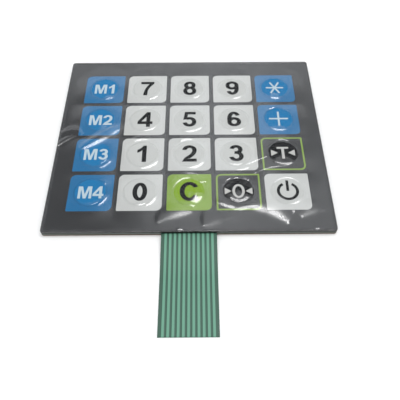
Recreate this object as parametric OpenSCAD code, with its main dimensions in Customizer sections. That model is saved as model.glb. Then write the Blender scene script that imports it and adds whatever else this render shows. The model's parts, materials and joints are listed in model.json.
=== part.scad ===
// Membrane keypad: a flexible panel of bonded films with twenty embossed keys,
// a snap dome under each key, and a flat printed tail that leaves its front edge.
// Origin: centre of the rear face. X runs right, Y away from the tail, Z out of the front.

/* [Keys] */
// Width of a printed key field
field_w = 15.1; // [13.8:0.1:20]
// Height of a printed key field
field_h = 15.0; // [13.8:0.1:20]
// Gap between neighbouring fields of a row
gap_x = 1.6; // [1.3:0.1:5]
// Gap between neighbouring fields of a column
gap_y = 1.6; // [1.4:0.1:5]
// Radius of the upper left and lower right corners of a key field
field_round = 2.0; // [0.8:0.1:4]
// Radius of the upper right and lower left corners of a key field
field_sharp = 0.4; // [0.2:0.1:2]
// Line width of the two outlined keys
outline_w = 0.6; // [0.4:0.1:1.4]

/* [Panel] */
// Margin from the outer key fields to the left and right edges
side_margin = 7.05; // [6:0.05:20]
// Margin from the outer key fields to the front and back edges
end_margin = 8.1; // [7.5:0.1:20]
// Corner radius of the panel
panel_round = 1.0; // [0.5:0.1:4]

/* [Embossing] */
// Diameter of the flat top of an embossed key
emboss_top_d = 10.2; // [8:0.1:11]
// Diameter of the foot of an embossed key
emboss_foot_d = 12.2; // [11.2:0.1:12.8]
// Height of the embossing above the overlay
emboss_h = 0.35; // [0.3:0.05:1]
// Play around the foot of a key in the adhesive below it
relief_play = 0.3; // [0.1:0.05:0.6]
// Diameter where the protective film lands again around a key
tent_d = 14.2; // [13:0.1:15.4]

/* [Layers] */
// Thickness of the release liner
liner_t = 0.15; // [0.08:0.01:0.3]
// Thickness of the mounting tape
tape_t = 0.75; // [0.2:0.05:1.5]
// Thickness of the circuit film and its tail
circuit_t = 0.13; // [0.1:0.01:0.3]
// Thickness of one printed silver layer
silver_t = 0.03; // [0.02:0.005:0.04]
// Thickness of the insulating coat over the circuit
coat_t = 0.10; // [0.09:0.005:0.12]
// Thickness of the dome retainer
retainer_t = 0.10; // [0.05:0.01:0.2]
// Thickness of the adhesive under the overlay
bond_t = 0.10; // [0.05:0.01:0.2]
// Thickness of the graphic overlay
overlay_t = 0.25; // [0.15:0.01:0.4]
// Thickness of the printed inks
ink_t = 0.03; // [0.02:0.005:0.06]
// Thickness of the protective film
cover_t = 0.08; // [0.04:0.01:0.15]

/* [Snap domes] */
// Diameter across the feet of a dome
dome_d = 10.0; // [8:0.1:10.4]
// Distance between the cut sides of a dome
dome_flats = 8.0; // [7:0.1:8.4]
// Height of a dome
dome_h = 0.50; // [0.4:0.02:0.7]
// Sheet thickness of a dome
dome_t = 0.07; // [0.05:0.01:0.12]
// Play around a dome in its pocket
dome_play = 0.3; // [0.1:0.05:0.5]
// Width of the air channels between the pockets
vent_w = 1.2; // [0.6:0.1:2]

/* [Circuit] */
// Diameter of the centre contact under a dome
pad_d = 3.2; // [2:0.1:4]
// Inner diameter of the ring contact under a dome
ring_d = 7.6; // [6:0.1:8.4]
// Width of the conductors inside the panel
track_w = 0.4; // [0.25:0.05:0.45]
// Pitch of the conductors in the panel's margins
lane_pitch = 0.75; // [0.6:0.05:0.8]
// Distance from the panel's edge to the outermost conductor
lane_edge = 1.2; // [0.8:0.1:1.5]
// Distance from a key's centre to its row and column conductors
bus_offset = 7.2; // [6.6:0.1:7.6]
// Half length of the gap that a crossover bridges
bridge_half = 1.1; // [0.7:0.1:1.4]

/* [Tail] */
// Length of the tail beyond the panel's edge
tail_l = 34; // [24:1:120]
// Length over which the tail comes down to the table
tail_drop_l = 14; // [8:1:20]
// Straight start of the tail at the panel's edge
tail_start = 1.0; // [0.5:0.1:3]
// Pitch of the tail's conductors
contact_pitch = 1.5; // [1.3:0.05:2.54]
// Width of the tail's conductors
contact_w = 1.0; // [0.5:0.05:1.1]
// Bare film beside the outer conductors
tail_margin = 1.0; // [0.5:0.1:3]

/* [Hidden] */
$fn = 48;
COLS = 5;
ROWS = 4;
SLOPE_STEPS = 8;
DROP_STEPS = 14;

// Each key's name, row by row from the top left, and the ink of its field.
KEY_NAMES = ["m1", "7", "8", "9", "star",
             "m2", "4", "5", "6", "plus",
             "m3", "1", "2", "3", "tare",
             "m4", "0", "clear", "zero", "power"];
KEY_INKS = ["blue", "white", "white", "white", "blue",
            "blue", "white", "white", "white", "blue",
            "blue", "white", "white", "white", "outline",
            "blue", "white", "green", "outline", "white"];
ALL_INKS = ["blue", "white", "green", "outline"];
DOME_NODES = [for (name = KEY_NAMES) str("dome_", name)];

pitch_x = field_w + gap_x;
pitch_y = field_h + gap_y;
panel_w = (COLS - 1) * pitch_x + field_w + 2 * side_margin;
panel_l = (ROWS - 1) * pitch_y + field_h + 2 * end_margin;
contacts = ROWS + COLS + 2;
tail_w = (contacts - 1) * contact_pitch + contact_w + 2 * tail_margin;

// Heights of the layers, from the rear face up. A dome stands on the bare ring contact,
// and its crown touches the retainer.
tape_z = liner_t;
circuit_z = tape_z + tape_t;
silver_z = circuit_z + circuit_t;
dome_z = silver_z + silver_t;
bar_z = silver_z + coat_t - silver_t;
spacer_z = silver_z + coat_t;
spacer_t = dome_z + dome_h - spacer_z;
retainer_z = spacer_z + spacer_t;
bond_z = retainer_z + retainer_t;
overlay_z = bond_z + bond_t;
ink_z = overlay_z + overlay_t;
cover_z = ink_z + ink_t;

dome_r = (pow(dome_d / 2, 2) + pow(dome_h, 2)) / (2 * dome_h);
pocket_d = dome_d + 2 * dome_play;
relief_d = emboss_foot_d + 2 * relief_play;
bridge_foot = 0.6;
ring_gap = 3 * track_w;
flange_w = 0.3;

function is_one_of(item, list) = len([for (entry = list) if (entry == item) 1]) > 0;
function key_x(col) = (col - (COLS - 1) / 2) * pitch_x;
function key_y(row) = ((ROWS - 1) / 2 - row) * pitch_y;
function bus_x(col) = key_x(col) - bus_offset;
function bus_y(row) = key_y(row) + bus_offset;
function lane_x(n) = panel_w / 2 - lane_edge - n * lane_pitch;
function lane_y(n) = lane_edge + n * lane_pitch - panel_l / 2;
function contact_x(n) = (n - (contacts - 1) / 2) * contact_pitch;

// The tail's contacts from the left: one end of the guard loop, the rows, the columns and
// the guard's other end. Conductors that come from the left nest in that same order.
function row_contact(row) = 1 + row;
function column_contact(col) = 1 + ROWS + col;
function from_left(col) = bus_x(col) < contact_x(column_contact(col));
function column_lane(col) = from_left(col) ? column_contact(col) : contacts - 1 - column_contact(col);

// Height of a formed film at radius r: a cosine slope between its flat top and its foot.
function slope_z(r, top_r, foot_r) = emboss_h * (1 + cos(180 * (r - top_r) / (foot_r - top_r))) / 2;

// Height that the tail has lost at y: level at the edge, then a smooth step down to the table.
function drop_share(y) = min(1, max(0, (-panel_l / 2 - tail_start - y) / tail_drop_l));
function tail_z(y) = circuit_z * (1 - pow(drop_share(y), 2) * (3 - 2 * drop_share(y)));

// Puts its children at each key whose field has one of the given inks.
module place_keys(inks = ALL_INKS) {
    for (row = [0:ROWS - 1], col = [0:COLS - 1])
        if (is_one_of(KEY_INKS[row * COLS + col], inks))
            translate([key_x(col), key_y(row), 0]) children();
}

module panel_outline() {
    square([panel_w - 2 * panel_round, panel_l], center = true);
    square([panel_w, panel_l - 2 * panel_round], center = true);
    for (sx = [-1, 1], sy = [-1, 1])
        translate([sx * (panel_w / 2 - panel_round), sy * (panel_l / 2 - panel_round)])
            circle(r = panel_round);
}

module layer(z, thickness) {
    translate([0, 0, z]) linear_extrude(thickness) children();
}

// A key field: two opposite corners are well rounded and the other two nearly square.
module key_field(inset = 0) {
    x = field_w / 2 - inset;
    y = field_h / 2 - inset;
    big = max(field_round - inset, 0.1);
    small = max(field_sharp - inset, 0.1);
    polygon([[-x + small, -y], [x - big, -y], [x, -y + big], [x, y - small],
             [x - small, y], [-x + big, y], [-x, y - big], [-x, -y + small]]);
    for (s = [-1, 1]) {
        translate(s * [x - big, -y + big]) circle(r = big);
        translate(s * [x - small, y - small]) circle(r = small);
    }
}

// A film of one thickness that is raised over the keys of the given inks. The children are
// its outline. Each rise is one revolved band, with a short flat flange round its foot.
module formed_film(z, thickness, foot_d, inks) {
    top_r = emboss_top_d / 2;
    foot_r = foot_d / 2;
    slope = [for (i = [0:SLOPE_STEPS])
                let (r = foot_r + (top_r - foot_r) * i / SLOPE_STEPS)
                [r, slope_z(r, top_r, foot_r)]];
    lower = concat([[foot_r + flange_w, 0]], slope, [[0, emboss_h]]);
    upper = [for (i = [len(lower) - 1:-1:0]) lower[i] + [0, thickness]];
    layer(z, thickness) difference() {
        children();
        place_keys(inks) circle(r = foot_r + flange_w / 2);
    }
    place_keys(inks) translate([0, 0, z]) rotate_extrude() polygon(concat(lower, upper));
}

// One conductor through a list of corner points, its legs along X or Y.
module wire(points, width = track_w) {
    for (i = [1:len(points) - 1]) {
        a = points[i - 1];
        b = points[i];
        translate([min(a[0], b[0]) - width / 2, min(a[1], b[1]) - width / 2])
            square([abs(a[0] - b[0]) + width, abs(a[1] - b[1]) + width]);
    }
}

module ring_contact() {
    difference() {
        circle(d = dome_d);
        circle(d = ring_d);
        translate([-dome_d / 2, 0]) square([dome_d, 2 * ring_gap], center = true);
    }
}

module row_print(row) {
    margin_x = -lane_x(row_contact(row));
    run_y = lane_y(row_contact(row));
    tail_x = contact_x(row_contact(row));
    difference() {
        wire([[key_x(COLS - 1), bus_y(row)], [margin_x, bus_y(row)]]);
        if (row > 0)
            for (col = [0:COLS - 1])
                translate([bus_x(col), bus_y(row)])
                    square([2 * bridge_half, 3 * track_w], center = true);
    }
    wire([[margin_x, bus_y(row)], [margin_x, run_y], [tail_x, run_y], [tail_x, -panel_l / 2 + track_w / 2]]);
    for (col = [0:COLS - 1]) {
        translate([key_x(col), key_y(row)]) ring_contact();
        wire([[key_x(col), key_y(row) + (ring_d + dome_d) / 4], [key_x(col), bus_y(row)]]);
    }
}

module column_print(col) {
    run_y = lane_y(column_lane(col));
    tail_x = contact_x(column_contact(col));
    wire([[bus_x(col), key_y(0)], [bus_x(col), run_y], [tail_x, run_y],
          [tail_x, -panel_l / 2 + track_w / 2]]);
    for (row = [0:ROWS - 1]) {
        translate([key_x(col), key_y(row)]) circle(d = pad_d);
        wire([[bus_x(col), key_y(row)], [key_x(col), key_y(row)]]);
    }
}

module guard_print() {
    x = lane_x(0);
    y = lane_y(0);
    end_y = -panel_l / 2 + track_w / 2;
    wire([[contact_x(0), end_y], [contact_x(0), y], [-x, y], [-x, -y], [x, -y], [x, y],
          [contact_x(contacts - 1), y], [contact_x(contacts - 1), end_y]]);
}

module place_crossings() {
    for (row = [1:ROWS - 1], col = [0:COLS - 1])
        translate([bus_x(col), bus_y(row)]) children();
}

module bridge_feet() {
    for (s = [-1, 1])
        translate([s * (bridge_half + bridge_foot / 2), 0])
            square([bridge_foot, track_w], center = true);
}

module bridge_bar() {
    square([2 * (bridge_half + bridge_foot), track_w], center = true);
}

// Openings in the coat: one over each pair of contacts. Its lower prints leave a tongue
// over the conductor that runs in to the centre contact, under the raised side of the dome.
module coat_windows(tongue) {
    place_keys() difference() {
        circle(d = pocket_d);
        if (tongue)
            translate([-(pocket_d + pad_d) / 4, 0])
                square([(pocket_d - pad_d) / 2, 2 * ring_gap - track_w], center = true);
    }
}

// A band that follows the tail from its root to its end, between two heights above the
// underside of the circuit film.
module tail_band(x, width, low, high) {
    root = -panel_l / 2;
    ys = concat([root],
                [for (i = [0:DROP_STEPS]) root - tail_start - tail_drop_l * i / DROP_STEPS],
                [root - tail_l]);
    points = concat([for (y = ys) [y, tail_z(y) + low]],
                    [for (i = [len(ys) - 1:-1:0]) [ys[i], tail_z(ys[i]) + high]]);
    translate([x - width / 2, 0, 0])
        rotate([90, 0, 90]) linear_extrude(width) polygon(points);
}

module tail_track(n) {
    tail_band(contact_x(n), contact_w, circuit_t, circuit_t + silver_t);
}

module release_liner() {
    color("#8a6f55") layer(0, liner_t) panel_outline();
}

module mounting_tape() {
    color("#4d4640") layer(tape_z, tape_t) panel_outline();
}

module circuit_film() {
    color("#a8b4b0") {
        layer(circuit_z, circuit_t) panel_outline();
        tail_band(0, tail_w, 0, circuit_t);
    }
}

module row_conductors() {
    color("#b9bcbe") for (row = [0:ROWS - 1]) {
        layer(silver_z, silver_t) row_print(row);
        tail_track(row_contact(row));
    }
}

module column_conductors() {
    color("#c4c7c9") for (col = [0:COLS - 1]) {
        layer(silver_z, silver_t) column_print(col);
        tail_track(column_contact(col));
    }
}

module guard_conductor() {
    color("#aeb1b3") {
        layer(silver_z, silver_t) guard_print();
        tail_track(0);
        tail_track(contacts - 1);
    }
}

module crossover_bridges() {
    color("#d2d4d5") place_crossings() {
        layer(dome_z, bar_z - dome_z) bridge_feet();
        layer(bar_z, silver_t) bridge_bar();
    }
}

module insulating_coat() {
    color("#76a892") {
        layer(silver_z, silver_t) difference() {
            panel_outline();
            for (row = [0:ROWS - 1]) row_print(row);
            for (col = [0:COLS - 1]) column_print(col);
            guard_print();
            coat_windows(true);
        }
        layer(dome_z, bar_z - dome_z) difference() {
            panel_outline();
            coat_windows(true);
            place_crossings() bridge_feet();
        }
        layer(bar_z, silver_t) difference() {
            panel_outline();
            coat_windows(false);
            place_crossings() bridge_bar();
        }
        difference() {
            tail_band(0, tail_w, circuit_t, circuit_t + coat_t);
            for (n = [0:contacts - 1]) tail_track(n);
        }
    }
}

module dome_spacer() {
    color("#3a3b3d") layer(spacer_z, spacer_t) difference() {
        panel_outline();
        place_keys() circle(d = pocket_d);
        for (row = [0:ROWS - 1])
            translate([0, key_y(row)]) square([(COLS - 1) * pitch_x, vent_w], center = true);
        square([vent_w, (ROWS - 1) * pitch_y], center = true);
    }
}

// A four-legged snap dome: a thin spherical cap with its four sides cut away.
module snap_dome(key) {
    translate([key_x(key % COLS), key_y(floor(key / COLS)), dome_z])
        color("#c9ccce") intersection() {
            translate([0, 0, dome_h - dome_r]) difference() {
                sphere(r = dome_r, $fn = 96);
                sphere(r = dome_r - dome_t, $fn = 96);
            }
            linear_extrude(2 * dome_h) square(dome_flats, center = true);
        }
}

module dome_retainer() {
    color("#d9dcd6") layer(retainer_z, retainer_t) panel_outline();
}

module overlay_adhesive() {
    color("#b8b6ac") layer(bond_z, bond_t) difference() {
        panel_outline();
        place_keys() circle(d = relief_d);
    }
}

module graphic_overlay() {
    color("#3f4042") formed_film(overlay_z, overlay_t, emboss_foot_d, ALL_INKS)
        panel_outline();
}

module ink_ground() {
    color("#55565a") formed_film(ink_z, ink_t, emboss_foot_d, ["outline"]) {
        difference() {
            panel_outline();
            place_keys() key_field();
        }
        place_keys(["outline"]) key_field(outline_w);
    }
}

module ink_blue() {
    color("#2f7ab5") formed_film(ink_z, ink_t, emboss_foot_d, ["blue"])
        place_keys(["blue"]) key_field();
}

module ink_white() {
    color("#d6d8d8") formed_film(ink_z, ink_t, emboss_foot_d, ["white"])
        place_keys(["white"]) key_field();
}

// The green key and the frames of the two outlined keys. A frame stops at the flange of the
// ground's embossed band, should a key's foot ever reach it.
module ink_green() {
    color("#8fbb45") {
        formed_film(ink_z, ink_t, emboss_foot_d, ["green"])
            place_keys(["green"]) key_field();
        layer(ink_z, ink_t) place_keys(["outline"]) difference() {
            key_field();
            key_field(outline_w);
            circle(r = emboss_foot_d / 2 + flange_w);
        }
    }
}

module protective_film() {
    color("#dfe6ea", 0.3) formed_film(cover_z, cover_t, tent_d, ALL_INKS)
        panel_outline();
}

release_liner();
mounting_tape();
circuit_film();
row_conductors();
column_conductors();
guard_conductor();
crossover_bridges();
insulating_coat();
dome_spacer();
for (key = [0:ROWS * COLS - 1])
    snap_dome(key);
dome_retainer();
overlay_adhesive();
graphic_overlay();
ink_ground();
ink_blue();
ink_white();
ink_green();
protective_film();
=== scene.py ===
# %% [markdown]
# # Dressing a membrane keypad
# The part is a thin stack of bonded films: a liner, a mounting tape, a printed circuit with its
# tail, a spacer with twenty snap domes, and an embossed overlay under a clear protective film.
# The construction comes in as a finished frame, so this lesson adds only what the eye sees: the
# inks and their legends, the creased film over them, the lacquer on the tail, and soft light.

# %% Load the construction
import json

import bpy
import numpy as np
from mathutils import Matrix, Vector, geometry

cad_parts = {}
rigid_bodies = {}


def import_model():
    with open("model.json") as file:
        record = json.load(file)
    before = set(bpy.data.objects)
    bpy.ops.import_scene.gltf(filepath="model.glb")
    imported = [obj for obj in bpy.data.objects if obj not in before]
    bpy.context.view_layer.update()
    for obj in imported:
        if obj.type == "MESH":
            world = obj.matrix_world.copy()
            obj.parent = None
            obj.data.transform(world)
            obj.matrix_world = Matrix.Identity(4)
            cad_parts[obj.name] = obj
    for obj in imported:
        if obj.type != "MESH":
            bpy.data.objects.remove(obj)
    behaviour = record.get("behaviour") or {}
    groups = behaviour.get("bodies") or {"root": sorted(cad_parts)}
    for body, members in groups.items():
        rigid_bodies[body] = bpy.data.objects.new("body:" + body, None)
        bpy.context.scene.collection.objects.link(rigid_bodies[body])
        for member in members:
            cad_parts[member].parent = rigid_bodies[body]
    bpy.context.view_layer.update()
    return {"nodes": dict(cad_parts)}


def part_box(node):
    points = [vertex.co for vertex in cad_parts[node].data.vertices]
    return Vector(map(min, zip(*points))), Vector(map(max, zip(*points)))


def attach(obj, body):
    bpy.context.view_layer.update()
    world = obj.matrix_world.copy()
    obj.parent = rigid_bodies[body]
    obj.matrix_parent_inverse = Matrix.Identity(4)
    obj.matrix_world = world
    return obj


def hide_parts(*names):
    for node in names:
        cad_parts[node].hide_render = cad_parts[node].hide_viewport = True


for leftover in list(bpy.data.objects):
    bpy.data.objects.remove(leftover)
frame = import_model()
nodes = frame["nodes"]
MM = 0.001

# %% [markdown]
# ## Sizes that the frame gives
# Every dressed piece has to land on the construction. The sizes could be typed in again, but
# then they could drift apart. Reading them from the nodes' boxes keeps one source: each key's
# centre is its dome's centre, and each height is the top of the layer below.

# %% Measure the keys and the layers
KEY_NAMES = [
    ["m1", "7", "8", "9", "star"],
    ["m2", "4", "5", "6", "plus"],
    ["m3", "1", "2", "3", "tare"],
    ["m4", "0", "clear", "zero", "power"],
]


def box_mm(node):
    """Lowest and highest corner of a node, in millimetres."""
    return [np.array(corner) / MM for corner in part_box(node)]


key_at = {name: np.mean(box_mm("dome_" + name), axis=0)[:2] for name in sum(KEY_NAMES, [])}
PITCH = np.array([key_at["8"][0] - key_at["7"][0], key_at["7"][1] - key_at["4"][1]])
film_low, film_high = box_mm("protective_film")
HALF_PANEL = film_high[:2]
PRINT_Z = film_low[2]
KEY_TOP_Z = box_mm("ink_white")[1][2]
KEY_RISE = KEY_TOP_Z - PRINT_Z
FILM_T = film_high[2] - KEY_TOP_Z
print("pitch", PITCH.round(2), "half panel", HALF_PANEL.round(2))
print("print at", round(PRINT_Z, 3), "key rise", round(KEY_RISE, 3), "film", round(FILM_T, 3))

# %% [markdown]
# ## The camera
# A view is fixed by where the camera stands, how it is turned and how long its lens is. Here a
# normal lens looks down at about 56 degrees from the tail's side, less than twenty centimetres
# away, as a camera does that is held over a table. The keys further back then look smaller.

# %% Set up the camera
CAMERA_AT = np.array([3.2, -122.7, 140.4]) * MM
CAMERA_TURN = np.radians([34.32, 0.11, -0.42])
LENS_MM = 45.0
SENSOR_MM = 36.0
CLIP_START = 0.01

camera_data = bpy.data.cameras.new("camera")
camera_data.lens = LENS_MM
camera_data.sensor_width = SENSOR_MM
camera_data.clip_start = CLIP_START
camera = bpy.data.objects.new("camera", camera_data)
camera.location = CAMERA_AT
camera.rotation_euler = CAMERA_TURN
bpy.context.scene.collection.objects.link(camera)
bpy.context.scene.camera = camera
print("camera", np.round(CAMERA_AT / MM, 1), "mm, lens", LENS_MM)

# %% [markdown]
# ## Shader sums written as Python
# A finish is a small formula over the surface: a stripe, a disc, a grain. Wiring it node by node
# hides the formula, so one class wraps a socket and lets Python's operators add the Math nodes.
# Every other node comes from one method that takes its type, its settings and its sockets.

# %% A socket that can be summed, and the tree that it belongs to
CLING_FULL_R = 5.05
CLING_END_R = 5.5
CLING_RAGGED = 1.2


class Value:
    """A shader socket in a Python sum: each operator adds the Math node that works it out."""

    def __init__(self, recipe, socket):
        self.recipe = recipe
        self.socket = socket

    def __add__(self, other):
        return self.recipe.maths("ADD", self, other)

    def __sub__(self, other):
        return self.recipe.maths("SUBTRACT", self, other)

    def __rsub__(self, other):
        return self.recipe.maths("SUBTRACT", other, self)

    def __mul__(self, other):
        return self.recipe.maths("MULTIPLY", self, other)

    def __truediv__(self, other):
        return self.recipe.maths("DIVIDE", self, other)

    def __pow__(self, other):
        return self.recipe.maths("POWER", self, other)

    def __abs__(self):
        return self.recipe.maths("ABSOLUTE", self)

    __radd__ = __add__
    __rmul__ = __mul__


class Recipe:
    """The node tree of one finish, emptied, with the few kinds of node that the finishes use."""

    def __init__(self, tree):
        self.tree = tree
        tree.nodes.clear()

    def node(self, kind, settings=None, sockets=None, output=None):
        """Adds a node: its settings first, then a number, a colour or a link for each socket,
        named by the socket's identifier. Returns the named output, or else the first."""
        made = self.tree.nodes.new("ShaderNode" + kind)
        for name, setting in (settings or {}).items():
            setattr(made, name, setting)
        inputs = {socket.identifier: socket for socket in made.inputs}
        for name, given in (sockets or {}).items():
            if isinstance(given, Value):
                self.tree.links.new(given.socket, inputs[name])
            else:
                inputs[name].default_value = given
        found = [socket for socket in made.outputs if output in (None, socket.identifier)]
        return Value(self, found[0] if found else None)

    def maths(self, operation, first, second=0.0):
        """One Math node."""
        sockets = {"Value": first, "Value_001": second}
        return self.node("Math", {"operation": operation}, sockets)

    def place(self):
        """The point on the piece, in metres of its own frame."""
        return self.node("TexCoord", output="Object")

    def split(self, vector):
        """The three numbers of a vector."""
        first = self.node("SeparateXYZ", sockets={"Vector": vector})
        return [Value(self, socket) for socket in first.socket.node.outputs]

    def noise(self, per_mm, detail=2.0, stretch=(1, 1, 1)):
        """Smooth noise between 0 and 1, with so many grains to the millimetre."""
        point = self.node("Mapping", sockets={"Vector": self.place(), "Scale": stretch})
        sockets = {"Vector": point, "Scale": per_mm / MM, "Detail": detail}
        return self.node("TexNoise", sockets=sockets)

    def fade(self, value, start, end):
        """0 up to the start, 1 from the end, and a smooth step between them."""
        sockets = {"Value": value, "From Min": start, "From Max": end}
        return self.node("MapRange", {"interpolation_type": "SMOOTHSTEP"}, sockets)

    def blend(self, share, first, second):
        """A colour between two others."""
        sockets = {"Factor_Float": share, "A_Color": first, "B_Color": second}
        return self.node("Mix", {"data_type": "RGBA"}, sockets, output="Result_Color")

    def bump(self, height, depth_mm):
        """A normal from a height that runs from 0 to 1 over so many millimetres."""
        return self.node("Bump", sockets={"Height": height, "Distance": depth_mm * MM})

    def fold(self, along_mm, pitch_mm, count):
        """The offset from the nearest of a row of places that are one pitch apart and centred on
        zero: the number of pitches is rounded to a place of the row, held within its ends, and
        taken off."""
        last = (count - 1) / 2
        shift = last % 1
        nearest = self.maths("ROUND", along_mm / pitch_mm - shift) + shift
        held = self.maths("MAXIMUM", self.maths("MINIMUM", nearest, last), -last)
        return along_mm - held * pitch_mm

    def cling(self):
        """1 on the ragged disc where the film clings to each key's top, and 0 elsewhere."""
        x, y, _ = self.split(self.place())
        dx = self.fold(x / MM, float(PITCH[0]), len(KEY_NAMES[0]))
        dy = self.fold(y / MM, float(PITCH[1]), len(KEY_NAMES))
        ragged = self.noise(per_mm=0.35, detail=3.0)
        radius = (dx * dx + dy * dy) ** 0.5 + CLING_RAGGED * (ragged - 0.5)
        return 1 - self.fade(radius, CLING_FULL_R, CLING_END_R)


print("shader sums ready")

# %% [markdown]
# ## Colours and the shape of a finish
# Colours are chosen as they look on a screen, six digits long, while the renderer adds up
# light, so each one is turned into linear light first. Helpers start a material and end it,
# and a small function wires what lies between, so that each finish stays a few lines.

# %% Colour and material helpers
def colour(code):
    """Linear colour of a six-digit screen colour: c / 12.92 below 0.04045, and above it
    ((c + 0.055) / 1.055) to the power of 2.4."""
    screen = np.array([int(code[i : i + 2], 16) for i in (0, 2, 4)]) / 255
    linear = np.where(screen < 0.04045, screen / 12.92, ((screen + 0.055) / 1.055) ** 2.4)
    return (*linear, 1.0)


def shade(code, factor):
    """The same colour, lighter or darker by a factor."""
    linear = np.array(colour(code)) * factor
    return (*linear[:3].clip(0, 1), 1.0)


def start(name):
    """A new material and its empty recipe."""
    material = bpy.data.materials.new(name)
    material.use_nodes = True
    return material, Recipe(material.node_tree)


def end(recipe, shader):
    """Joins the last shader to the output."""
    recipe.node("OutputMaterial", sockets={"Surface": shader})


def surface(recipe, **sockets):
    """A Principled surface as the whole finish. Underscores in a name stand for spaces."""
    named = {name.replace("_", " "): given for name, given in sockets.items()}
    end(recipe, recipe.node("BsdfPrincipled", sockets=named))


def dress(material, *names):
    """Gives nodes of the construction their finish."""
    for name in names:
        for slot in nodes[name].material_slots:
            slot.material = material


print("white is", np.round(colour("ffffff"), 2))

# %% [markdown]
# ## Printed inks
# The front is screen-printed in passes: a dark ground, then blue, white and green fields. Screen
# ink isn't quite even, and it dries with a fine grain. Where the protective film clings to it,
# its matt skin is wetted out and its colour is deep. Where air lies between, the ink takes a
# second tone that paints in how the film and the air gap haze it: a painted haze, mostly lighter,
# and not the ink's own colour. So each ink has two tones, which slow noise makes cloudy, and fast
# noise gives it its grain.

# %% Ink finish
def printed_ink(name, wet, painted_haze_tone, unevenness=0.04, roughness=0.5):
    """A screen-printed ink: deep under the clinging film, and elsewhere a painted haze, a tone
    that paints in how the film and the air under it haze the ink; cloudy, and with a grain a few
    microns deep."""
    material, recipe = start(name)
    cloud = recipe.noise(per_mm=0.12, detail=4.0)
    grain = recipe.noise(per_mm=9.0)
    cling = recipe.cling()
    # Painted haze: away from the clinging disc the ink takes its second tone, which paints in the
    # haze of the film and the air gap.
    painted_haze = recipe.blend(cloud, shade(painted_haze_tone, 1 - unevenness), shade(painted_haze_tone, 1 + unevenness))
    deep = recipe.blend(cloud, shade(wet, 1 - unevenness), shade(wet, 1 + unevenness))
    surface(
        recipe,
        Base_Color=recipe.blend(cling, painted_haze, deep),
        Roughness=roughness + 0.12 * cloud,
        Specular_IOR_Level=0.15,
        Normal=recipe.bump(grain, depth_mm=0.004),
    )
    return material


# Each ink's second code is its tone under the air gap, with the painted haze in it.
dress(printed_ink("ground_ink", wet="0e0f12", painted_haze_tone="28292b"), "ink_ground")
dress(printed_ink("blue_ink", wet="1c70a3", painted_haze_tone="086ca0"), "ink_blue")
dress(printed_ink("white_ink", wet="bbbdbb", painted_haze_tone="c4c6c4"), "ink_white")
dress(printed_ink("green_ink", wet="7d9e2c", painted_haze_tone="82a236"), "ink_green")
dark_legend_ink = printed_ink("dark_legend_ink", wet="161718", painted_haze_tone="1e1f20")
pale_legend_ink = printed_ink("pale_legend_ink", wet="b0c2cb", painted_haze_tone="b0c2cb")
grey_legend_ink = printed_ink("grey_legend_ink", wet="b8b8b6", painted_haze_tone="b8b8b6")
print(len(bpy.data.materials), "materials so far")

# %% [markdown]
# ## The stack's cut edges
# From the side the panel is a sandwich that a steel rule has cut in one stroke. The upper films
# read as one dark line and the foam tape below as a brown one, over the liner's paper. The clear
# adhesive's and the retainer's edges are near black: painted shade, for the shade that this side
# of the stack lies in. Only the edges show, so the finishes are about cut plastic, cells in the
# foam, with painted shade in them, and fibres in the paper.

# %% Films, adhesives, foam and paper
def cut_film(name, code, roughness=0.35):
    """Clear or tinted polyester, with the fine lines that the cutting rule leaves."""
    material, recipe = start(name)
    lines = recipe.noise(per_mm=1.2, detail=3.0, stretch=(1, 1, 12))
    tone = recipe.blend(lines, shade(code, 0.85), shade(code, 1.15))
    rough = roughness + 0.2 * lines
    surface(recipe, Base_Color=tone, Roughness=rough, Normal=recipe.bump(lines, depth_mm=0.01))
    return material


def foam(name, code, cell_mm=0.2):
    """Closed-cell foam: round cells as dents, and a darker tone inside them, which is painted
    shade in the dents.
    """
    material, recipe = start(name)
    sockets = {"Vector": recipe.place(), "Scale": 1 / (cell_mm * MM)}
    cell = recipe.node("TexVoronoi", {"feature": "F1"}, sockets, output="Distance")
    wall_and_painted_shade = recipe.fade(cell, 0.15, 0.6)
    # Painted shade: the tone darkens towards each cell's middle, in its dent.
    tone = recipe.blend(wall_and_painted_shade, shade(code, 0.7), shade(code, 1.15))
    surface(recipe, Base_Color=tone, Roughness=0.9, Normal=recipe.bump(wall_and_painted_shade, depth_mm=0.05))
    return material


def kraft_paper(name, code):
    """Coated brown paper: long fibres one way, short flecks, and a slight sheen."""
    material, recipe = start(name)
    fibres = recipe.noise(per_mm=1.5, detail=5.0, stretch=(0.25, 2.5, 1))
    flecks = recipe.fade(recipe.noise(per_mm=3.0, detail=1.0), 0.66, 0.74)
    tone = recipe.blend(fibres, shade(code, 0.8), shade(code, 1.2))
    fleck = recipe.blend(0.5 * flecks, tone, shade(code, 0.5))
    surface(
        recipe,
        Base_Color=fleck,
        Roughness=0.45 + 0.2 * fibres,
        Normal=recipe.bump(fibres, depth_mm=0.01),
    )
    return material


dress(cut_film("overlay_film", "1d1d1f"), "graphic_overlay")
# Painted shade: the clear adhesive's and the retainer's edges get near-black tones for the shade
# on the stack's side.
dress(cut_film("clear_adhesive", "1e1b19", roughness=0.5), "overlay_adhesive")
dress(cut_film("retainer_film", "282522"), "dome_retainer")
dress(cut_film("spacer_film", "1a1918"), "dome_spacer")
dress(foam("mounting_foam", "463c34"), "mounting_tape")
dress(kraft_paper("kraft_liner", "7d6750"), "release_liner")
print("edges dressed")

# %% [markdown]
# ## Metal inside and the tail's lacquer
# The circuit is silver ink on clear polyester, under a green lacquer. On the tail the lacquer
# is pale where silver backs it and deeper between the tracks, where the film lets light through.
# A stripe pattern on the piece's own coordinates follows the tracks' pitch.

# %% Silver, steel and green lacquer
CONTACTS = 11
CONTACT_PITCH = 1.5
CONTACT_W = 1.0
CONTACT_BLUR = 0.22


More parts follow.
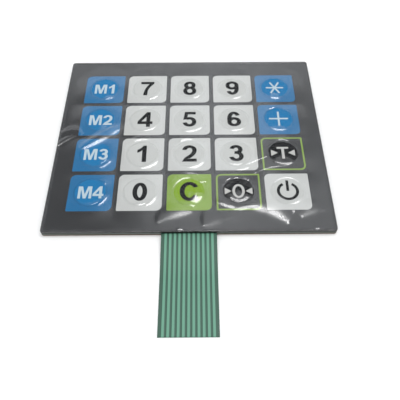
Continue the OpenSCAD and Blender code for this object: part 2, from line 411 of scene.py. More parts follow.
def metal(name, code, roughness, grain_mm):
    """A bare metal with a fine grain in its gloss."""
    material, recipe = start(name)
    grain = recipe.noise(per_mm=1 / grain_mm, detail=3.0)
    tone = recipe.blend(grain, shade(code, 0.85), shade(code, 1.1))
    surface(
        recipe,
        Base_Color=tone,
        Metallic=1.0,
        Roughness=roughness + 0.15 * grain,
        Normal=recipe.bump(grain, depth_mm=0.003),
    )
    return material


def green_lacquer(name):
    """Green lacquer over the tail: pale over each silver track, deeper between them and at the
    bare margins, and faintly streaked along the tail by the squeegee."""
    material, recipe = start(name)
    x, _, _ = recipe.split(recipe.place())
    offset = abs(recipe.fold(x / MM, CONTACT_PITCH, CONTACTS))
    gap = recipe.fade(offset, CONTACT_W / 2 - CONTACT_BLUR, CONTACT_W / 2)
    streaks = recipe.noise(per_mm=2.0, detail=3.0, stretch=(1, 0.06, 1))
    over_track = recipe.blend(streaks, colour("568f78"), colour("669d85"))
    between = recipe.blend(streaks, colour("224a3b"), colour("2c5745"))
    surface(
        recipe,
        Base_Color=recipe.blend(gap, over_track, between),
        Roughness=0.38 + 0.15 * streaks,
        Normal=recipe.bump(streaks, depth_mm=0.004),
    )
    return material


silver = metal("silver_ink", "b9bcbe", roughness=0.45, grain_mm=0.05)
dome_steel = metal("dome_steel", "c9ccce", roughness=0.22, grain_mm=0.2)
dress(silver, "row_conductors", "column_conductors", "guard_conductor", "crossover_bridges")
dress(dome_steel, *["dome_" + name for name in key_at])
dress(cut_film("circuit_polyester", "8fa39b"), "circuit_film")
lacquer = green_lacquer("green_lacquer")
dress(lacquer, "insulating_coat")
print("circuit dressed")

# %% [markdown]
# ## Meshes from arrays
# The new pieces are surfaces over a grid of two parameters. numpy works a whole grid out at
# once, and one helper turns two such grids into a closed shell, because a film or a skin of
# lacquer has two sides and a rim, and an open sheet would be neither a solid nor printable.
# The inner side may be coarser than the outer one, by a whole ratio, to save faces.

# %% Arrays to closed meshes
def put_mesh(name, points, faces, material, smooth=True):
    """A mesh object from an array of points in millimetres and an array of equal faces."""
    mesh = bpy.data.meshes.new(name)
    mesh.vertices.add(len(points))
    mesh.vertices.foreach_set("co", (points * MM).astype(np.float32).ravel())
    mesh.loops.add(faces.size)
    mesh.loops.foreach_set("vertex_index", faces.astype(np.int32).ravel())
    mesh.polygons.add(len(faces))
    mesh.polygons.foreach_set("loop_start", np.arange(0, faces.size, faces.shape[1]))
    mesh.update(calc_edges=True)
    mesh.polygons.foreach_set("use_smooth", np.full(len(faces), smooth))
    mesh.validate()
    mesh.materials.append(material)
    piece = bpy.data.objects.new(name, mesh)
    bpy.context.scene.collection.objects.link(piece)
    print(name, len(points), "points,", len(faces), "faces")
    return piece


def grid_faces(rows, columns):
    """Two triangles to each cell of a grid, and the grid's rim in order, anticlockwise."""
    at = np.arange(rows * columns).reshape(rows, columns)
    a, b, c, d = at[:-1, :-1], at[:-1, 1:], at[1:, 1:], at[1:, :-1]
    halves = [np.stack(corners, axis=-1).reshape(-1, 3) for corners in ((a, b, c), (a, c, d))]
    rim = np.concatenate([at[0, :-1], at[:-1, -1], at[-1, :0:-1], at[:0:-1, 0]])
    return np.concatenate(halves), rim


def shell_faces(outer_shape, inner_shape):
    """Triangles of a closed shell. Round the rim, each inner side faces m outer ones: the first
    m // 2 of them are joined to its first end, the rest to its last, and one triangle is left."""
    outer, rim = grid_faces(*outer_shape)
    inner, inner_rim = (part + np.prod(outer_shape) for part in grid_faces(*inner_shape))
    m = len(rim) // len(inner_rim)
    k = np.arange(len(rim))
    nearest = inner_rim[(k // m + (k % m >= m // 2)) % len(inner_rim)]
    fans = np.stack([np.roll(rim, -1), rim, nearest], axis=1)
    left = np.stack([rim[m // 2 :: m], inner_rim, np.roll(inner_rim, -1)], axis=1)
    return np.concatenate([outer, inner[:, ::-1], fans, left])


def put_shell(name, outer, inner, material):
    """A closed shell between two grids of points."""
    points = np.concatenate([outer.reshape(-1, 3), inner.reshape(-1, 3)])
    piece = put_mesh(name, points, shell_faces(outer.shape[:2], inner.shape[:2]), material)
    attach(piece, "root")
    return piece


def put_value(piece, name, values):
    """One number to each point of a mesh, as the first coordinate of a UV layer."""
    corners = np.empty(len(piece.data.loops), np.int32)
    piece.data.loops.foreach_get("vertex_index", corners)
    uv = np.zeros((len(corners), 2), np.float32)
    uv[:, 0] = values[corners]
    piece.data.uv_layers.new(name=name).data.foreach_set("uv", uv.ravel())


print("a shell of 5 by 5 over 3 by 3 points has", len(shell_faces((5, 5), (3, 3))), "faces")

# %% [markdown]
# ## Legends drawn with a broad nib
# The legends are plain bold numbers and signs, printed on the flat tops of the keys. A font
# would bring its own letter shapes, so each sign is drawn here: an elliptical nib, wider across
# than it is high, runs along arcs and lines, and gives upright strokes more weight than level
# ones. Straight-sided signs are cut as plates. The overlaps then melt into one flat outline.

# %% The nib, the arc and the plate
STEM = 0.212
BAR = 0.168
NIB = np.array([STEM, BAR]) / 2


def arc(centre, radii, first, last, steps=36):
    """Points of an ellipse's arc between two angles in degrees: centre + radii (cos a, sin a)."""
    a = np.radians(np.linspace(first, last, steps))
    return np.array(centre) + np.array(radii) * np.stack([np.cos(a), np.sin(a)], axis=1)


def bend(first, pull, last, steps=14):
    """Points of a quadratic curve: (1 - t)^2 first + 2 t (1 - t) pull + t^2 last."""
    t = np.linspace(0, 1, steps)[:, None]
    first, pull, last = np.array(first), np.array(pull), np.array(last)
    return (1 - t) ** 2 * first + 2 * t * (1 - t) * pull + t**2 * last


def stroke(path, nib=NIB):
    """What a nib of half axes (p, q) covers along a path. Where the path's normal is (u, v), the
    nib reaches (p^2 u, q^2 v) / sqrt(p^2 u^2 + q^2 v^2) to either side."""
    run = np.gradient(path, axis=0)
    normal = np.stack([-run[:, 1], run[:, 0]], axis=1)
    size = np.sqrt((normal**2 * nib**2).sum(axis=1, keepdims=True))
    reach = normal * nib**2 / size
    count = len(path)
    k = np.arange(count - 1)
    quads = np.stack([k + count, k + 1 + count, k + 1, k], axis=1)
    return np.concatenate([path - reach, path + reach]), quads.tolist()


def plate(*corners):
    """A straight-sided or curved piece from its outline."""
    points = np.concatenate([np.atleast_2d(corner) for corner in corners])
    return points, [list(range(len(points)))]


print("stem", STEM, "bar", BAR, "of a sign's height")

# %% [markdown]
# ## The signs themselves
# One height is 1 and the baseline is 0, with x measured from the sign's middle. Round figures
# are built on two ellipses, as a sign painter lays them out: the whole figure's, and a lower
# bowl's. A six turned half round is a nine.

# %% Figures and letters
SIDE = 0.345 - NIB[0]
TOP = 1 - NIB[1]
MIDDLE = 0.535
BOWL = (MIDDLE - NIB[1]) / 2


def half_turn(patches):
    """The same sign turned half round about its middle."""
    return [(np.array([0, 1]) - points, faces) for points, faces in patches]


SIX = [
    stroke(arc((0, NIB[1] + BOWL), (SIDE, BOWL), 0, 360, 48)),
    stroke(arc((0, 0.5), (SIDE, TOP - 0.5), 34, 196)),
]
SIGNS = {
    "0": [stroke(arc((0, 0.5), (SIDE - 0.012, TOP - 0.5), 0, 360, 60))],
    "1": [
        plate((-0.025, 0), (0.182, 0), (0.182, 1), (0.02, 1),
              bend((0.02, 1), (-0.06, 0.83), (-0.26, 0.74)),
              bend((-0.26, 0.56), (-0.12, 0.6), (-0.025, 0.71))),
    ],
    "2": [
        stroke(arc((0, 0.7), (SIDE, TOP - 0.7), 176, -12)),
        stroke(bend((SIDE, 0.66), (0.22, 0.44), (-0.08, 0.24))),
        plate((-0.35, 0), (0.345, 0), (0.345, 0.178), (-0.1, 0.178),
              bend((0.02, 0.24), (-0.05, 0.3), (-0.06, 0.36)), (-0.22, 0.24)),
    ],
    "3": [
        stroke(arc((0, (TOP + MIDDLE) / 2), (SIDE - 0.03, (TOP - MIDDLE) / 2), 168, -80)),
        stroke(arc((0, NIB[1] + BOWL), (SIDE, BOWL), 80, -170)),
        plate((-0.09, MIDDLE - NIB[1]), (0.06, MIDDLE - NIB[1]), (0.06, MIDDLE + NIB[1]),
              (-0.07, MIDDLE + NIB[1])),
    ],
    "4": [
        plate((0.06, 0), (0.26, 0), (0.26, 1), (0.06, 1)),
        plate((-0.37, 0.195), (0.375, 0.195), (0.375, 0.37), (-0.37, 0.37)),
        plate((-0.37, 0.37), (-0.18, 0.37), (0.07, 0.7), (0.07, 1)),
    ],
    "5": [
        plate((-0.22, 0.825), (0.305, 0.825), (0.305, 1), (-0.22, 1)),
        plate((-0.32, 0.465), (-0.14, 0.49), (-0.075, 0.86), (-0.235, 1)),
        stroke(arc((-0.01, 0.325), (SIDE, 0.325 - NIB[1]), 132, -168)),
    ],
    "6": SIX,
    "7": [
        plate((-0.345, 0.825), (0.345, 0.825), (0.345, 1), (-0.345, 1)),
        plate((-0.2, 0), (0.01, 0), bend((0.03, 0.35), (0.14, 0.66), (0.345, 0.85)), (0.12, 0.85),
              bend((0.1, 0.83), (-0.17, 0.5), (-0.2, 0))),
    ],
    "8": [
        stroke(arc((0, (TOP + MIDDLE) / 2), (SIDE - 0.035, (TOP - MIDDLE) / 2), 0, 360, 48)),
        stroke(arc((0, NIB[1] + BOWL), (SIDE, BOWL), 0, 360, 48)),
    ],
    "9": half_turn(SIX),
    "M": [
        plate((-0.47, 0), (-0.285, 0), (-0.285, 1), (-0.47, 1)),
        plate((0.285, 0), (0.47, 0), (0.47, 1), (0.285, 1)),
        plate((-0.29, 1), (-0.285, 0.78), (-0.095, 0), (0.095, 0), (0, 0.34), (-0.18, 1)),
        plate((0.29, 1), (0.18, 1), (0, 0.34), (-0.095, 0), (0.095, 0), (0.285, 0.78)),
    ],
    "C": [stroke(arc((0.015, 0.5), (0.425 - NIB[0], TOP - 0.5), 31, 329, 60))],
    "T": [
        plate((-0.385, 0.845), (0.385, 0.845), (0.385, 1), (-0.385, 1)),
        plate((-0.09, 0), (0.09, 0), (0.09, 0.86), (-0.09, 0.86)),
    ],
}
print(len(SIGNS), "signs")

# %% [markdown]
# ## Legends in place
# Each sign is scaled to its printed height and set on its key's centre. A constrained Delaunay
# triangulation takes all the outlines of one key at once and cuts them where they cross, and
# every triangle whose middle lies in some outline is kept: that is their union, with clean
# holes.

# %% Lay out every key's legend
FIGURE_H = 7.5
CLEAR_H = 7.9
MEMORY_H = 4.95
MEMORY_DROP = 0.15
MEMORY_X = {"1": (-1.58, 2.86), "2": (-1.9, 2.63), "3": (-1.85, 2.68), "4": (-1.85, 2.66)}
SYMBOL_NIB = np.array([0.36, 0.36])
STAR_ARM = 3.42
PLUS_ARM = 3.58
TARE_H = 5.4
TARE_ARROW = ((-4.25, 1.42), (-4.25, -1.42), (-1.85, 0))
ZERO_ARROW = ((-4.7, 1.38), (-4.7, -1.38), (-2.4, 0))
THIN_ZERO_RADII = (1.65, 2.45)
THIN_ZERO_NIB = np.array([0.44, 0.4])
POWER_R = 3.24
POWER_DROP = 0.15
POWER_GAP = 28
POWER_NIB = np.array([0.5, 0.5])
POWER_BAR = (-0.1, 4.3)
POWER_BAR_NIB = 0.94 * POWER_NIB


def sign(name, height, at=(0.0, 0.0)):
    """A sign's patches at a height in millimetres, centred on a point of its key."""
    middle = np.array([0, 0.5])
    return [((points - middle) * height + at, faces) for points, faces in SIGNS[name]]


def ray(angle, reach, nib):
    """A straight stroke through the key's centre, at an angle in degrees."""
    a = np.radians(angle)
    tip = reach * np.array([np.cos(a), np.sin(a)])
    return stroke(np.linspace(-tip, tip, 3), nib)


def arrows(left):
    """Two arrowheads that point inwards, from the corners of the left one."""
    return [plate(np.array(left)), plate(np.array(left) * [-1, 1])]


thin_zero = stroke(arc((0, 0), THIN_ZERO_RADII, 0, 360, 60), THIN_ZERO_NIB)
power_ring = arc((0, -POWER_DROP), (POWER_R, POWER_R), 90 + POWER_GAP, 450 - POWER_GAP, 60)
power_bar = np.linspace((0, POWER_BAR[0]), (0, POWER_BAR[1]), 3)
legends = {name: sign(name, FIGURE_H) for name in "0123456789"}
legends["star"] = [ray(angle, STAR_ARM, SYMBOL_NIB) for angle in (0, 60, 120)]
legends["plus"] = [ray(angle, PLUS_ARM, SYMBOL_NIB) for angle in (0, 90)]
legends["tare"] = sign("T", TARE_H) + arrows(TARE_ARROW)
legends["clear"] = sign("C", CLEAR_H)
legends["zero"] = [thin_zero] + arrows(ZERO_ARROW)
legends["power"] = [stroke(power_ring, POWER_NIB), stroke(power_bar, POWER_BAR_NIB)]
for number, (letter_x, number_x) in MEMORY_X.items():
    letter = sign("M", MEMORY_H, (letter_x, -MEMORY_DROP))
    legends["m" + number] = letter + sign(number, MEMORY_H, (number_x, -MEMORY_DROP))
print(len(legends), "legends")

# %% Melt the outlines and print them
LEGEND_T = 0.008
MERGE_MM = 1e-5
TRIANGLES_INSIDE = 1


def turned_left(points, face):
    """The face in the order that runs anticlockwise: its area by the shoelace sum is positive."""
    x, y = points[face].T
    area = (x * np.roll(y, -1) - y * np.roll(x, -1)).sum()
    return face if area > 0 else face[::-1]


def inside(outline, points):
    """Which points lie in an outline: a level ray from the point crosses its sides an odd
    number of times."""
    x, y = points.T
    odd = np.zeros(len(points), bool)
    for (x0, y0), (x1, y1) in zip(outline, np.roll(outline, -1, axis=0)):
        if y0 != y1:
            odd ^= ((y0 > y) != (y1 > y)) & (x < x0 + (x1 - x0) * (y - y0) / (y1 - y0))
    return odd


def melt(patches):
    """One flat mesh of all that the patches cover: the corners and the triangles."""
    starts = np.cumsum([0] + [len(points) for points, _ in patches])
    points = np.concatenate([points for points, _ in patches])
    patch_faces = [(first, face) for first, (_, group) in zip(starts, patches) for face in group]
    faces = [[first + k for k in face] for first, face in patch_faces]
    outlines = [turned_left(points, face) for face in faces]
    made = geometry.delaunay_2d_cdt(points.tolist(), [], outlines, TRIANGLES_INSIDE, MERGE_MM)
    corners, triangles = np.array(made[0]), np.array(made[2])
    middles = corners[triangles].mean(axis=1)
    covered = np.any([inside(points[face], middles) for face in faces], axis=0)
    return corners, triangles[covered]


def print_legends(name, keys, material):
    """The legends of one ink, as a skin a few microns thick just above the keys' tops."""
    melted = [melt(legends[key]) for key in keys]
    starts = np.cumsum([0] + [len(corners) for corners, _ in melted])
    flat = np.concatenate([corners + key_at[key] for key, (corners, _) in zip(keys, melted)])
    triangles = np.concatenate([group + first for first, (_, group) in zip(starts, melted)])
    height = np.full((len(flat), 1), KEY_TOP_Z + 2 * LEGEND_T)
    piece = put_mesh(name, np.hstack([flat, height]), triangles, material, smooth=False)
    skin = piece.modifiers.new("ink thickness", "SOLIDIFY")
    skin.thickness = LEGEND_T * MM
    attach(piece, "root")


DARK_KEYS = [*"0123456789", "clear", "power"]
PALE_KEYS = ["m1", "m2", "m3", "m4", "star", "plus"]
GREY_KEYS = ["tare", "zero"]
print_legends("dark_legends", DARK_KEYS, dark_legend_ink)
print_legends("pale_legends", PALE_KEYS, pale_legend_ink)
print_legends("grey_legends", GREY_KEYS, grey_legend_ink)

# %% [markdown]
# ## The protective film
# A clear masking film still lies over the whole front. It clings to the flat key tops, where the
# colours look deep, and bridges the rest like a tent, where a thin layer of air makes them look
# milky: the film's gloss mirrors some of that, and the inks' painted haze paints in the rest. Its
# creases catch the lamp. Cloth simulation would crease it somewhere, but not where it is wanted,
# so its height is written as a sum: a wide tent over each key, slow waves, round lips at the
# keys' rims, and creases.
#
# A surface glints where its normal lies halfway between the lamp and the camera. That fixes its
# slope. Each ridge therefore has one flank that faces the tail, and in its middle the flank adds
# exactly the slope that the film below it lacks there. The tables give half the flank's width
# and a share: 1 shows the lamp in full, 0.9 only the blurred edge of its image.

# %% Height of the film
LAMP_AT = np.array([0.13, 0.16, 0.77])
TENT_TOP_R = 5.2
TENT_REACH = 9.0
TENT_MERGE = 4
PRINT_TOP_R = 5.1
PRINT_FOOT_R = 6.1
AIR = 0.02
FILM_STEP = 0.3
SLOPE_STEP = 0.2
BACK_WIDTH = 2.4
END_POWER = 0.3
LEAST_WIDTH = 0.05
LEAST_RATE = 0.4


def glint_slope(x, y):
    """How steeply the film must fall towards the tail to mirror the lamp into the camera: its
    normal is halfway between the two directions."""
    half = 0
    for at in (CAMERA_AT, LAMP_AT):
        sight = at / MM - np.dstack([x, y, np.full_like(x, PRINT_Z)])
        half = half + sight / np.linalg.norm(sight, axis=2, keepdims=True)
    return -half[..., 1] / half[..., 2]


def cosine_slope(radius, top, foot):
    """1 within the top radius, 0 outside the foot, and half a cosine wave between."""
    t = ((radius - top) / (foot - top)).clip(0, 1)
    return (1 + np.cos(np.pi * t)) / 2


def cross_section(d, width):
    """The profile of a ridge, for a distance d that grows towards the tail: half a cosine wave
    up, and then the flank from -width to width, whose slope swells to 1 in its middle as cos^2.
    The mesh only sees the mean slope over two steps, so the flank is made steeper by what that
    loses."""
    t = (d / width).clip(-1, 1)
    flank = width * (1 - t - np.sin(np.pi * t) / np.pi) / 2
    seen = (1 + np.sinc(FILM_STEP / width)) / 2
    return flank / seen * cosine_slope(-d, width, BACK_WIDTH * width)


def ridge(d, s, rate, share, width):
    """A ridge along which s runs from 0 to 1, and across which d grows towards the tail at a
    rate. It narrows towards both ends as sin(pi s)^0.3, and the rate divides its height, so
    that all of it glints."""
    ends = np.sin(np.pi * s.clip(0, 1)) ** END_POWER
    profile = cross_section(d, width * ends.clip(LEAST_WIDTH))
    return share / rate.clip(LEAST_RATE) * profile * (ends > 0)


def crease(x, y, first, last, bow, share, width):
    """A ridge from one point to another. Across it d is the distance from a parabola that bows
    out by so much: 4 bow s (1 - s). The rate at which d falls towards the tail follows from
    the parabola's slope."""
    first, last = np.array(first), np.array(last)
    span = np.hypot(*(last - first))
    along = (last - first) / span
    s = ((x - first[0]) * along[0] + (y - first[1]) * along[1]) / span
    d = (y - first[1]) * along[0] - (x - first[0]) * along[1] - 4 * bow * s * (1 - s)
    rate = along[0] - 4 * bow * (1 - 2 * s) * along[1] / span
    return ridge(-d, s, rate, share, width)


def waves(x, y, count, shortest, longest, height):
    """A sum of sine waves of random direction, phase and length, scaled to a total height. The
    count also seeds the random numbers."""
    rng = np.random.default_rng(count)
    total = np.zeros_like(x)
    for _ in range(count):
        turn, phase = rng.uniform(0, 2 * np.pi, 2)
        length = rng.uniform(shortest, longest)
        total += np.sin(2 * np.pi * (x * np.cos(turn) + y * np.sin(turn)) / length + phase)
    return height * total / count


def tents(x, y):
    """Rise of the taut film over the keys. Each key lifts it by a wide cosine slope, and the
    slopes run together as a power mean: the sum of their powers, brought back by the root."""
    total = np.zeros_like(x)
    for centre in key_at.values():
        radius = np.hypot(x - centre[0], y - centre[1])
        total += cosine_slope(radius, TENT_TOP_R, TENT_TOP_R + TENT_REACH) ** TENT_MERGE
    return KEY_RISE * total ** (1 / TENT_MERGE)


def from_key(x, y):
    """Distance to the nearest key's centre."""
    return np.min([np.hypot(x - at[0], y - at[1]) for at in key_at.values()], axis=0)


def lip(x, y, key, radius, first, last, share, width):
    """A short round ridge at a key's rim, from one angle to another in degrees. Along it s
    follows the angle a, and across it d is the distance from its circle, which grows towards
    the tail at a rate of |sin a|."""
    dx, dy = x - key_at[key][0], y - key_at[key][1]
    a = np.arctan2(dy, dx)
    s = ((np.degrees(a) - first) % 360) / (last - first)
    d = (np.hypot(dx, dy) - radius) * -np.sign(np.sin(np.radians(first + last) / 2))
    return ridge(d, s, np.abs(np.sin(a)), share, width)


LIPS = [
    # key, radius in mm, first and last angle in degrees, share, width in mm
    ("m1", 6.0, -88, -52, 1.0, 0.8),
    ("7", 6.2, -84, -38, 0.97, 1.1),
    ("8", 5.9, -80, -42, 0.98, 1.0),
    ("9", 6.1, -92, -52, 1.0, 1.3),
    ("star", 6.0, -118, -74, 1.0, 1.4),
    ("m2", 6.0, -88, -58, 1.04, 0.8),
    ("m2", 4.4, -100, -50, 1.0, 0.45),
    ("4", 5.7, -100, -38, 0.98, 1.0),
    ("5", 6.3, -114, -36, 0.98, 1.1),
    ("6", 6.0, -110, -52, 0.97, 1.2),
    ("6", 7.3, -98, -62, 1.0, 0.4),
    ("plus", 5.9, -128, -64, 1.0, 1.1),
    ("m3", 6.7, -74, -26, 0.93, 0.7),
    ("m3", 5.0, -66, -30, 0.93, 0.5),
    ("1", 6.7, -100, -28, 1.0, 1.1),
    ("1", 4.4, -80, -46, 1.0, 0.4),
    ("2", 6.7, -98, -32, 0.97, 1.2),
    ("3", 5.3, -128, -62, 1.0, 1.0),
    ("3", 6.5, -70, -40, 1.0, 0.8),
    ("3", 7.8, -92, -54, 1.02, 0.9),
    ("tare", 5.4, -136, -50, 1.0, 1.9),
    ("m4", 6.3, -62, -14, 0.92, 0.7),
    ("m4", 5.2, -116, -30, 0.95, 0.45),
    ("0", 5.4, -108, -60, 1.0, 0.7),
    ("0", 6.3, -68, -20, 0.98, 0.9),
    ("clear", 4.6, -100, -12, 0.91, 2.6),
    ("clear", 6.2, -128, -70, 1.0, 1.2),
    ("zero", 4.3, -152, -28, 0.93, 2.6),
    ("power", 5.5, -165, -112, 1.1, 0.8),
    ("power", 5.5, -104, -30, 1.0, 0.8),
    ("4", 5.9, 84, 118, 0.92, 0.8),
    ("1", 6.5, 74, 122, 1.0, 1.2),
    ("2", 6.4, 78, 122, 1.0, 1.1),
    ("plus", 5.7, 96, 122, 1.0, 0.6),
    ("plus", 5.5, 44, 62, 1.0, 0.6),
    ("clear", 5.6, 86, 158, 1.0, 1.0),
    ("clear", 7.6, 66, 112, 1.0, 0.9),
    ("zero", 5.8, 110, 154, 1.0, 0.6),
    ("zero", 5.4, 82, 106, 1.0, 0.6),
    ("zero", 5.6, 50, 76, 1.0, 0.6),
    ("tare", 6.0, 64, 104, 1.0, 0.9),
    ("power", 5.3, 44, 140, 1.0, 0.8),
    ("m4", 5.6, 34, 60, 1.0, 0.45),
]
CREASES = [
    # first point, last point and bow in mm, share, width in mm
    ((-38.8, -6.4), (-25.0, 4.1), -0.8, 0.98, 2.1),
    ((-47.5, 1.0), (-39.5, 0.5), 0.3, 0.72, 2.0),
    ((-47.8, -4.5), (-39.0, 1.5), 0.6, 0.82, 1.0),
    ((18.5, -15.0), (28.0, -9.8), 0.3, 0.95, 0.7),
    ((22.5, -17.5), (34.0, -14.6), 1.0, 0.93, 0.9),
    ((8.6, -29.2), (16.4, -32.2), -0.3, 0.98, 1.4),
    ((15.0, -32.4), (26.0, -29.8), -0.4, 0.98, 1.4),
    ((20.0, -31.2), (32.5, -37.6), 1.0, 0.89, 3.6),
    ((25.0, -31.0), (35.0, -33.4), -0.6, 0.82, 1.8),
    ((3.6, -21.4), (6.2, -20.8), 0.0, 1.0, 0.8),
    ((-4.6, -20.3), (2.5, -16.6), 0.9, 1.0, 0.6),
    ((-10.5, -37.2), (1.5, -33.2), 0.4, 0.74, 2.6),
    ((4.5, -38.6), (11.5, -36.2), 0.0, 0.64, 3.2),
    ((36.5, -35.4), (45.5, -33.0), 0.5, 0.7, 2.6),
    ((-3.7, -39.8), (-1.9, -39.8), 0.0, 1.05, 0.6),
    ((40.7, -39.8), (42.3, -39.8), 0.0, 1.05, 0.6),
]


def taut_film(x, y):
    """The film before it creases: tents over a thin layer of air, and waves that die out at
    the keys' tops."""
    loose = 1 - cosine_slope(from_key(x, y), TENT_TOP_R, 1.5 * TENT_TOP_R)
    swells = waves(x, y, count=9, shortest=14, longest=40, height=0.1)
    return AIR + (tents(x, y) + loose * swells).clip(0)


def film_height(x, y):
    """Height of the film's underside above the flat print: taut, with ridges that add what its
    slope towards the tail lacks of the one that glints, and with ripples. Where two ridges
    meet, the higher one counts."""
    front, rear = taut_film(x, y - SLOPE_STEP), taut_film(x, y + SLOPE_STEP)
    lack = glint_slope(x, y) - (rear - front) / (2 * SLOPE_STEP)
    ridges = [lip(x, y, *row) for row in LIPS] + [crease(x, y, *row) for row in CREASES]
    ripples = waves(x, y, count=14, shortest=5, longest=11, height=0.01)
    return taut_film(x, y) + lack * np.max(ridges, axis=0) + ripples


print(len(LIPS), "lips and", len(CREASES), "creases over", len(key_at), "tents")

# %% Build the film
FINER = 4
FILM_CELLS = np.round(2 * HALF_PANEL / (FINER * FILM_STEP)).astype(int)
PANEL_ROUND = 1.0


def film_grid(ratio):
    """A grid over the panel whose rows narrow at its ends, so that the corners are round: where
    a row lies b beyond the centres of the corners' arcs, it loses r - sqrt(r^2 - b^2)."""
    counts = FILM_CELLS * ratio + 1
    u = np.linspace(-1, 1, counts[0])
    y = np.linspace(-HALF_PANEL[1], HALF_PANEL[1], counts[1])
    beyond = (np.abs(y) - (HALF_PANEL[1] - PANEL_ROUND)).clip(0)
    half = HALF_PANEL[0] - PANEL_ROUND + np.sqrt((PANEL_ROUND**2 - beyond**2).clip(0))
    return half[:, None] * u[None, :], np.repeat(y[:, None], len(u), axis=1)


x, y = film_grid(FINER)
print_height = KEY_RISE * cosine_slope(from_key(x, y), PRINT_TOP_R, PRINT_FOOT_R)
under = np.maximum(film_height(x, y), print_height + AIR)
film_top = np.dstack([x, y, PRINT_Z + FILM_T - AIR + under])
film_under = film_top[::FINER, ::FINER].copy()
film_under[..., 2] = PRINT_Z + under[::FINER, ::FINER]
print("film's highest point", round(film_top[..., 2].max(), 2), "mm")

# %% [markdown]
# ## A film that is seen only by what it mirrors
# Clear film has no colour of its own. A mix lets most light straight through and mirrors a small
# share, which grows towards a glancing view as (1 - cos)^5. Where air lies under the film there
# are more faces to mirror, so its share grows with the gap, which each point of the film carries.

# %% Film finish
FULL_GAP = 0.08
HEAD_ON = 0.04
GLOSS_TOUCHING = 0.2
GLOSS_APART = 1.2
GAP_COUNTS = 0.8


def clear_film(name):
    """Transparent with a share of gloss: 0.04 + 0.96 (1 - cos)^5, times a factor that is small
    where the film touches the print and larger where there is a gap."""
    material, recipe = start(name)
    gap, _, _ = recipe.split(recipe.node("UVMap", settings={"uv_map": "gap"}, output="UV"))
    apart = 1 - recipe.cling() * (1 - GAP_COUNTS * gap)
    facing = recipe.node("LayerWeight", sockets={"Blend": 0.5}, output="Facing")
    mirrored = HEAD_ON + (1 - HEAD_ON) * facing**5
    cloud = recipe.noise(per_mm=0.08, detail=3.0, stretch=(1, 2.5, 1))
    smear = recipe.fade(cloud, 0.45, 0.7)
    scratch = recipe.noise(per_mm=3.0, stretch=(0.1, 1, 1))
    gloss_sockets = {
        "Color": (1, 1, 1, 1),
        "Roughness": 0.13 + 0.05 * smear,
        "Normal": recipe.bump(scratch, depth_mm=0.001),
    }
    gloss = recipe.node("BsdfGlossy", sockets=gloss_sockets)
    clear = recipe.node("BsdfTransparent")
    share = mirrored * (GLOSS_TOUCHING + GLOSS_APART * apart)
    mix_sockets = {"Fac": share, "Shader": clear, "Shader_001": gloss}
    end(recipe, recipe.node("MixShader", sockets=mix_sockets))
    return material


film = put_shell("masking_film", film_top, film_under, clear_film("clear_film"))
gap = ((under - print_height - AIR) / FULL_GAP).clip(0, 1)
put_value(film, "gap", np.concatenate([gap.ravel(), gap[::FINER, ::FINER].ravel()]))
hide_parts("protective_film")

# %% [markdown]
# ## The lacquer's relief on the tail
# The lacquer follows the tracks below it, so the tail is finely ribbed. The construction has it
# flat. A skin only microns proud of it brings the ribs: one cross-section, carried along the
# same drop from the panel to the table, whose heights are read from the construction's mesh.

# %% A ribbed skin along the tail
RIB_H = 0.035
RIB_EDGE = 0.24
RIB_STEP = 0.1
SKIN_GAP = 0.003
SKIN_T = 0.004
TAIL_MARGIN = 1.0
TAIL_TOP_Y = -HALF_PANEL[1] - 0.01
TAIL_ROWS = 90


def tail_path():
    """The heights of the coat's top along the tail, from its own vertices: for each y, the
    highest of its points."""
    mesh = nodes["insulating_coat"].data
    co = np.empty(len(mesh.vertices) * 3, np.float32)
    mesh.vertices.foreach_get("co", co)
    co = co.reshape(-1, 3) / MM
    on_tail = co[co[:, 1] < TAIL_TOP_Y]
    ys, which = np.unique(on_tail[:, 1].round(3), return_inverse=True)
    tops = np.full(len(ys), -np.inf)
    np.maximum.at(tops, which, on_tail[:, 2])
    return ys, tops


def rib(x):
    """The cross-section: a ridge over each track, whose edges are half a cosine wave."""
    place = np.round(x / CONTACT_PITCH).clip(-(CONTACTS // 2), CONTACTS // 2) * CONTACT_PITCH
    t = ((np.abs(x - place) - CONTACT_W / 2 + RIB_EDGE / 2) / RIB_EDGE).clip(0, 1)
    return RIB_H * (1 + np.cos(np.pi * t)) / 2


path_y, path_z = tail_path()
half_tail = (CONTACTS - 1) * CONTACT_PITCH / 2 + CONTACT_W / 2 + TAIL_MARGIN
across = np.arange(-half_tail, half_tail + RIB_STEP / 2, RIB_STEP)
along = np.linspace(path_y[0], TAIL_TOP_Y, TAIL_ROWS)
grid_x, grid_y = np.meshgrid(across, along)
base_z = np.interp(grid_y, path_y, path_z) + SKIN_GAP
skin_top = np.dstack([grid_x, grid_y, base_z + SKIN_T + rib(grid_x)])
skin_under = np.dstack([grid_x, grid_y, base_z])
skin = put_shell("tail_lacquer", skin_top, skin_under, lacquer)

# %% [markdown]
# ## Table, lamps and sky
# The table is a wide pale bowl, so that no view from any side finds its edge. Its flat middle
# carries the keypad. A strip lamp nearly overhead draws the thin bright arcs on the film, and
# the sky that the flat film mirrors gives it its milky look: bright in the middle, dim to both
# sides and towards the horizon.

# %% Table
BOWL_R = 1.6
BOWL_FLAT_R = 0.5
BOWL_RISE = 0.5
BOWL_INNER_R = 0.00001
TABLE_DROP = 0.00002


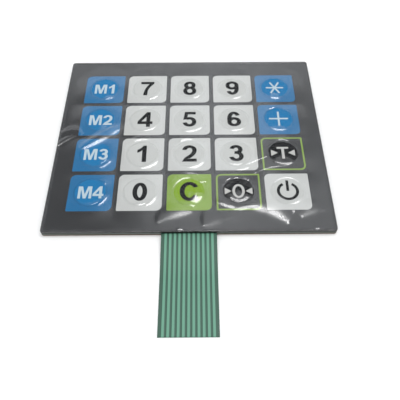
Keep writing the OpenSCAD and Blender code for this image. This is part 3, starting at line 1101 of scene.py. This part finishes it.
def bowl():
    """Rings round the origin: level out to the flat radius, then rising as the square of the
    distance beyond it."""
    level = np.linspace(BOWL_INNER_R, BOWL_FLAT_R, 8)
    rising = np.linspace(BOWL_FLAT_R, BOWL_R, 24)[1:]
    turn = np.linspace(0, 2 * np.pi, 65)
    r, a = np.meshgrid(np.concatenate([level, rising]), turn, indexing="ij")
    beyond = ((r - BOWL_FLAT_R) / (BOWL_R - BOWL_FLAT_R)).clip(0)
    return np.dstack([r * np.cos(a), r * np.sin(a), BOWL_RISE * beyond**2 - TABLE_DROP]) / MM


def matt_table(name):
    """A pale, dull surface with a barely visible cloudiness."""
    material, recipe = start(name)
    cloud = recipe.noise(per_mm=0.01, detail=3.0)
    tone = recipe.blend(cloud, colour("f4f4f4"), colour("fafafa"))
    surface(recipe, Base_Color=tone, Roughness=0.9)
    return material


rings = bowl()
at = np.arange(rings[..., 0].size).reshape(rings.shape[:2])
quads = np.stack([at[:-1, :-1], at[1:, :-1], at[1:, 1:], at[:-1, 1:]], axis=-1).reshape(-1, 4)
table = put_mesh("table", rings.reshape(-1, 3), quads, matt_table("matt_table"))

# %% Lamps and sky
LAMP_SIZE = (0.56, 0.085)
LAMP_RADIANCE = 12.5
SKY_STRENGTH = 1.06
SKY_FRONT = (1, 1, 1, 1)
SKY_BACK = (1.12, 1.15, 1.19, 1)
BLACK = (0, 0, 0, 1)
DIM_LEFT = 0.78
DIM_RIGHT = 0.18
DIM_RIGHT_MORE = 0.42
DIM_HIGH = 0.15
DIM_LOW = 0.45


def strip_lamp(name, at, size, radiance):
    """A long lamp that looks at the keypad, with its long side level and along x. Its power
    gives the wanted radiance: power = radiance * pi * area."""
    data = bpy.data.lights.new(name, "AREA")
    data.shape = "RECTANGLE"
    data.size, data.size_y = size
    data.energy = radiance * np.pi * size[0] * size[1]
    x, y, z = at / np.linalg.norm(at)
    body = bpy.data.objects.new(name, data)
    body.location = at
    body.rotation_euler = (-np.arcsin(y), np.arctan2(x, z), 0)
    body.visible_camera = False
    bpy.context.scene.collection.objects.link(body)
    print(name, "power", round(data.energy, 2), "W")


strip_lamp("strip_lamp", LAMP_AT, LAMP_SIZE, LAMP_RADIANCE)


def sky(strength):
    """An even dome, but for the part behind the keypad, which its film mirrors. That is bright
    in the middle, dim to the left, half dim to the right, and half dim near the horizon. The
    directions x, y and z are the parts of a unit vector, so z = 0.5 is 30 degrees up."""
    world = bpy.data.worlds.new("sky")
    world.use_nodes = True
    bpy.context.scene.world = world
    recipe = Recipe(world.node_tree)
    x, y, z = recipe.split(recipe.node("TexCoord", output="Generated"))
    left = DIM_LEFT * recipe.fade(0.0 - x, 0.0, 0.22)
    right = recipe.fade(x, 0.06, 0.2) * (DIM_RIGHT + DIM_RIGHT_MORE * recipe.fade(y, 0.56, 0.64))
    high = DIM_HIGH * recipe.fade(z, 0.74, 0.86)
    low = DIM_LOW * (1 - recipe.fade(z, 0.5, 0.62))
    dim = (left + right) * recipe.fade(z, 0.6, 0.7) * (1 - high) + high + low
    back = recipe.blend(dim, SKY_BACK, BLACK)
    behind = recipe.fade(y, 0.1, 0.35) * recipe.fade(z, 0.1, 0.3)
    tone = recipe.blend(behind, SKY_FRONT, back)
    dome = recipe.node("Background", sockets={"Color": tone, "Strength": strength})
    recipe.node("OutputWorld", sockets={"Surface": dome})


sky(SKY_STRENGTH)
bpy.context.scene.view_settings.view_transform = "Standard"
